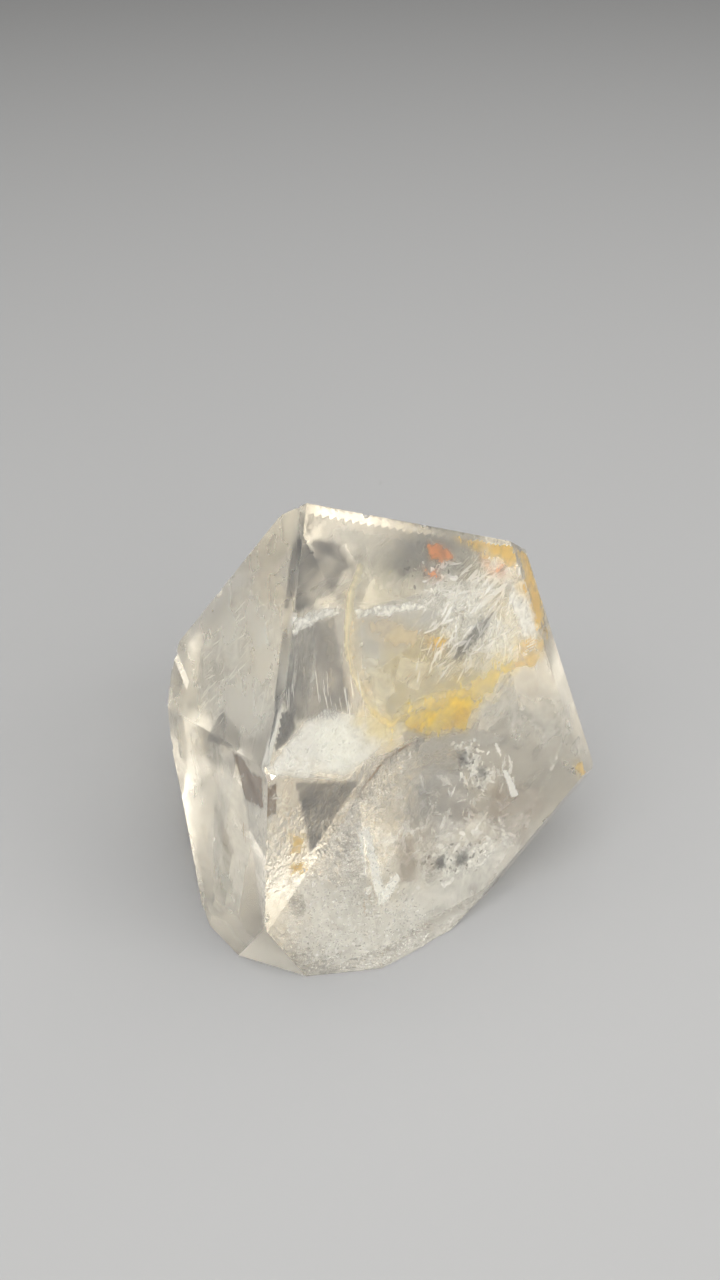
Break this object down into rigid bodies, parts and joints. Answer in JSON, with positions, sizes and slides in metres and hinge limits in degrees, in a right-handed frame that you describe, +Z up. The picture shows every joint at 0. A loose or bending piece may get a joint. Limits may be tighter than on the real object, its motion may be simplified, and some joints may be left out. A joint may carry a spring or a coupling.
{
  "type": "quartz crystal",
  "caption": "Stubby clear quartz crystal of the herkimer diamond kind, with flat faces, a frosted break and inner veils, to stand on a shelf or in a tray.",
  "frame": {"origin": "on the surface that the crystal rests on, under the middle of its box", "axes": "+Z is up, from the flat face it rests on towards its pointed top; -Y is the front, where the large clear roof face and the frosted break are seen; +X is to the right of someone who looks at the front"},
  "size_m": [0.0604, 0.058, 0.0645],
  "materials": {
    "clear_quartz": "clear quartz with some satin and frosted natural faces, white veils and feathers inside, and yellow to orange iron stain along healed cracks"
  },
  "bodies": {
    "root": {"quartz_crystal": "clear_quartz"}
  },
  "joints": []
}
